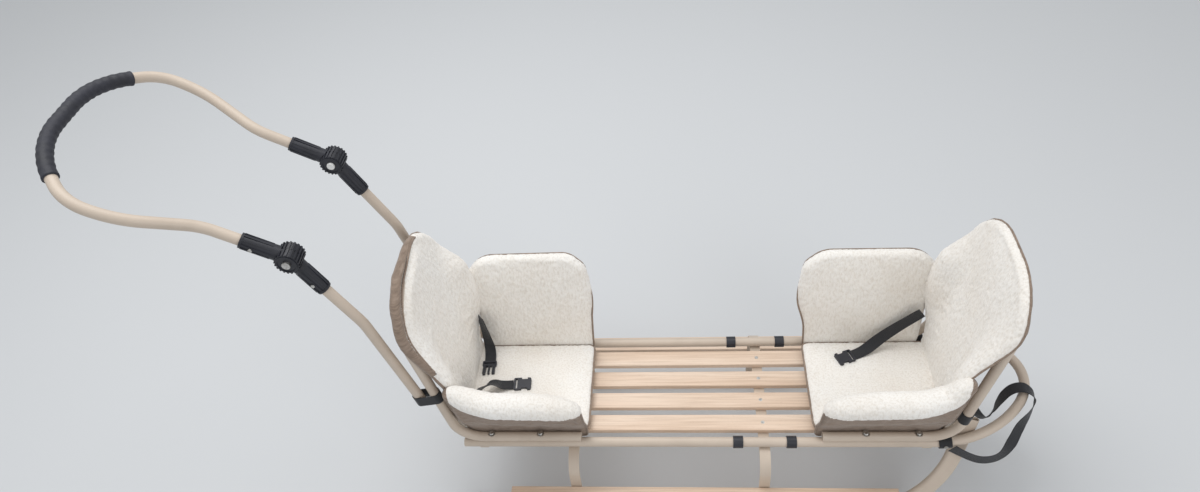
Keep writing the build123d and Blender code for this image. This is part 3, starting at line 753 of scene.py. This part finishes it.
def spline_line(label, spots):
    """The smooth line of a strap, read from the NURBS spline that its route's points control."""
    data = bpy.data.curves.new(label, "CURVE")
    data.dimensions = "3D"
    data.resolution_u = 10
    spline = data.splines.new("NURBS")
    spline.points.add(len(spots) - 1)
    for point, spot in zip(spline.points, spots):
        point.co = (*at(*spot), 1)
    spline.order_u = 3
    spline.use_endpoint_u = True
    line = new_object(label, data)
    mesh = evaluated(line)
    points = vertex_array(mesh)
    bpy.data.meshes.remove(mesh)
    bpy.data.objects.remove(line)
    bpy.data.curves.remove(data)
    return points


# Section of the webbing, across and up, as shares of its width and thickness: flat, with two thicker edges
SECTION = [
    (-0.5, -0.3), (-0.44, -0.5), (-0.36, -0.38), (0, -0.36), (0.36, -0.38), (0.44, -0.5), (0.5, -0.3),
    (0.5, 0.3), (0.44, 0.5), (0.36, 0.38), (0, 0.36), (-0.36, 0.38), (-0.44, 0.5), (-0.5, 0.3),
]


def strap(label, route):
    """Webbing that follows a route's spline and turns with the width directions beside its points."""
    line = spline_line(label, [spot for spot, _ in route])
    ahead = np.gradient(line, axis=0)
    ahead /= np.linalg.norm(ahead, axis=1)[:, None]
    share = np.linspace(0, 1, len(line)) * (len(route) - 2) + 0.5
    share[0], share[-1] = 0, len(route) - 1
    turns = np.array([direction for _, direction in route], float)
    width = np.stack([np.interp(share, range(len(route)), turns[:, k]) for k in range(3)], axis=1)
    width -= (width * ahead).sum(axis=1)[:, None] * ahead
    width /= np.linalg.norm(width, axis=1)[:, None]
    face = np.cross(ahead, width)
    length = np.concatenate([[0], np.cumsum(np.linalg.norm(np.diff(line, axis=0), axis=1))])
    points, uvs = [], []
    for spot, w, f, far in zip(line, width, face, length):
        for side, up in SECTION:
            points.append(spot + (w * side * STRAP_W + f * up * STRAP_T) * MM)
            uvs.append((side * STRAP_W * MM, far))
    piece = mesh_object(label, points, tube_faces(len(line), len(SECTION)), WEBBING, smooth=False, uvs=uvs)
    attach(piece, "sled")
    return piece, line, float(length[-1])


for name, route in BELTS.items():
    belt, line, length = strap(f"lap_{name}", route)
    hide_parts(f"belt_{name}")
pull, line, length = strap("towing_strap", PULL)
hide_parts("pull_strap")


# Foam grip on the handle's bow, drawn in the handle's plane: u along the handle, v across
GRIP_D = 26.0
PIVOT = (-690, 0, 556)
HANDLE_RISE = math.radians(31)


def on_handle(u, v, out=0.0):
    """A point in the handle's plane, given in millimetres from the swivels' axis."""
    rise, run = math.sin(HANDLE_RISE), math.cos(HANDLE_RISE)
    return np.array(at(PIVOT[0] - u * run + out * rise, v, PIVOT[2] + u * rise + out * run))


def bow_line():
    """The bow's middle line u, v under the grip: three straight runs with rounded corners."""
    start, corner = np.array([373.0, 141.5]), np.array([420.0, 91.0])
    arc = corner_arc(start, corner, corner + (0.0, -1.0), 170.0, 30)
    side = [start] + [start + (arc[0] - start) * t for t in (0.25, 0.5, 0.75)] + arc
    return np.array(side + [(u, -v) for u, v in reversed(side)])


def foam_grip():
    """Foam sleeve pushed on in soft, slanting folds, with a smooth ring at each end."""
    line = bow_line()
    lengths = np.concatenate([[0], np.cumsum(np.linalg.norm(np.diff(line, axis=0), axis=1))])
    marks = np.linspace(0, lengths[-1], 260)
    u, v = (np.interp(marks, lengths, line[:, k]) for k in (0, 1))
    ahead = np.gradient(np.stack([u, v], axis=1), axis=0)
    ahead /= np.linalg.norm(ahead, axis=1)[:, None]
    around, points = 48, []
    for s, cu, cv, (du, dv) in zip(marks, u, v, ahead):
        near_end = min(s, lengths[-1] - s)
        for angle in np.linspace(0, 2 * math.pi, around, endpoint=False):
            drift = 1.1 * noise.noise((s / 40, math.cos(angle), math.sin(angle)))
            folds = math.sin(s / 15 * 2 * math.pi + angle + drift)
            wear = noise.noise((s / 9, 2.5 * math.cos(angle), 2.5 * math.sin(angle)))
            r = GRIP_D / 2 - 0.35 + 0.38 * folds * min(1, near_end / 18) + 0.25 * wear
            if near_end < 5:
                r = GRIP_D / 2 + 0.2 - max(0, 1.2 - near_end) ** 2
            side, out = r * math.cos(angle), r * math.sin(angle)
            points.append(on_handle(cu - dv * side, cv + du * side, out))
    return mesh_object("foam_grip", points, tube_faces(len(marks), around), GRIP_FOAM)


grip = foam_grip()
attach(grip, "handle")
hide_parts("grip")


# Floor, backdrop and lights
def make_stage():
    """A plain pale floor that holds the shadow, and a world that the camera sees in the floor's own tone."""
    half, tone = 14.0, (0.62, 0.635, 0.65)
    corners = [(-half, -half, 0), (half, -half, 0), (half, half, 0), (-half, half, 0)]
    floor = mesh_object("floor", corners, [(0, 1, 2, 3)], shader("floor", tone, 0.9)[0], smooth=False)
    world = bpy.data.worlds.new("studio")
    world.use_nodes = True
    bpy.context.scene.world = world
    tree = world.node_tree
    background = tree.nodes["Background"]
    background.inputs["Strength"].default_value = 0.62
    background.inputs["Color"].default_value = (0.97, 0.985, 1.0, 1)
    shown = tree.nodes.new("ShaderNodeBackground")
    shown.inputs["Color"].default_value = (*tone, 1)
    ray_kind = tree.nodes.new("ShaderNodeLightPath")
    swap = tree.nodes.new("ShaderNodeMixShader")
    tree.links.new(ray_kind.outputs["Is Camera Ray"], swap.inputs[0])
    tree.links.new(background.outputs[0], swap.inputs[1])
    tree.links.new(shown.outputs[0], swap.inputs[2])
    tree.links.new(swap.outputs[0], tree.nodes["World Output"].inputs["Surface"])
    for name, spot, power, size in (
        ("key", (-900, 700, 3000), 58, 2.4),
        ("fill", (1600, -2200, 1700), 22, 2.0),
    ):
        lamp = bpy.data.lights.new(name, "AREA")
        lamp.energy = power
        lamp.size = size
        light = new_object(name, lamp)
        light.location = at(*spot)
        light.rotation_euler = (at(0, 0, 100) - light.location).to_track_quat("-Z", "Y").to_euler()


make_stage()
bpy.context.scene.view_settings.view_transform = "Standard"
